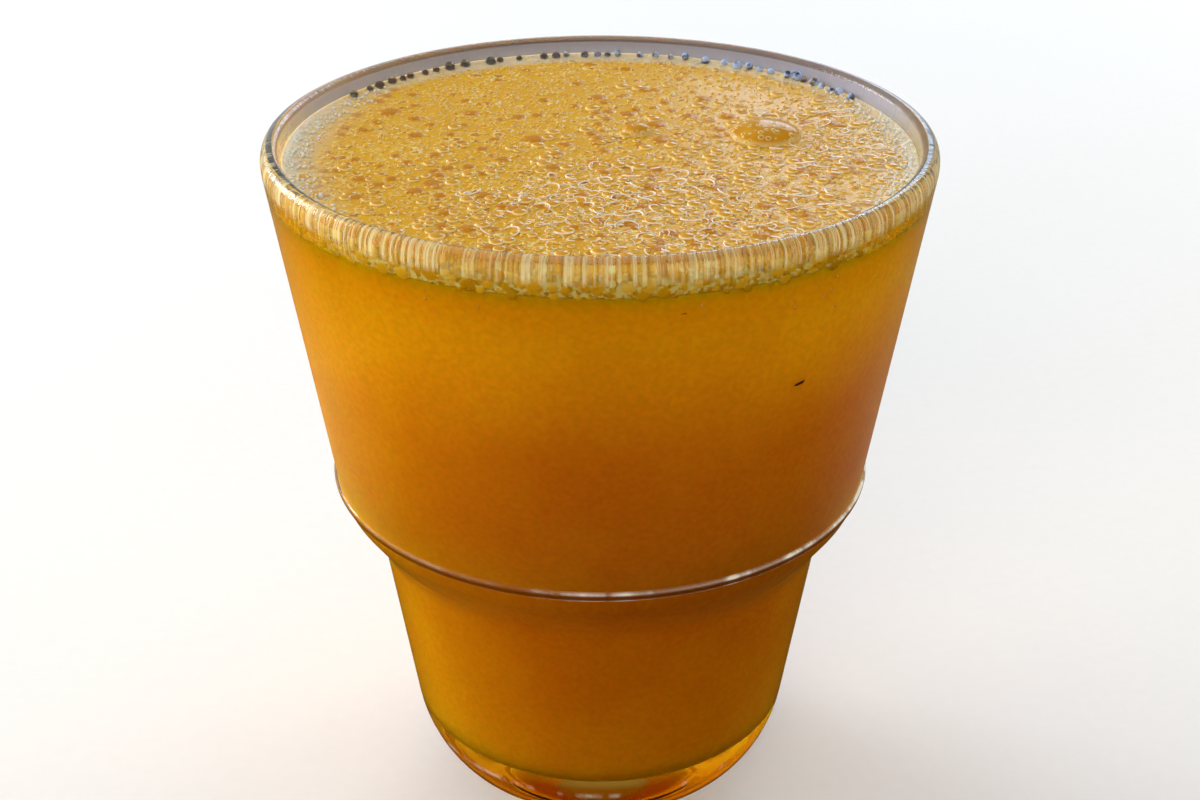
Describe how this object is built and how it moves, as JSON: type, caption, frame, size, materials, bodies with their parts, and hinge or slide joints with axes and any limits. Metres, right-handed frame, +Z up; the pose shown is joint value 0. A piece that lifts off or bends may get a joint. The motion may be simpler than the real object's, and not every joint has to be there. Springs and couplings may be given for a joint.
{
  "type": "glass of orange juice",
  "caption": "Clear stepped stacking tumbler with a heavy rounded foot, filled almost to the lip with orange juice under a thin layer of bubbly froth.",
  "frame": {"origin": "middle of the foot, on the plane that the glass stands on", "axes": "+Z up along the axis that the glass is turned about; -Y towards the viewer of the picture, +X to that viewer's right"},
  "size_m": [0.081, 0.081, 0.09],
  "materials": {
    "clear_glass": "clear pressed glass, fire polished, smooth",
    "orange_juice": "cloudy orange juice with fine pulp, wet and opaque to the eye",
    "juice_froth": "wet froth of small bubbles, golden, with fine bright films"
  },
  "bodies": {
    "root": {"tumbler": "clear_glass", "juice": "orange_juice", "froth": "juice_froth"}
  },
  "joints": []
}
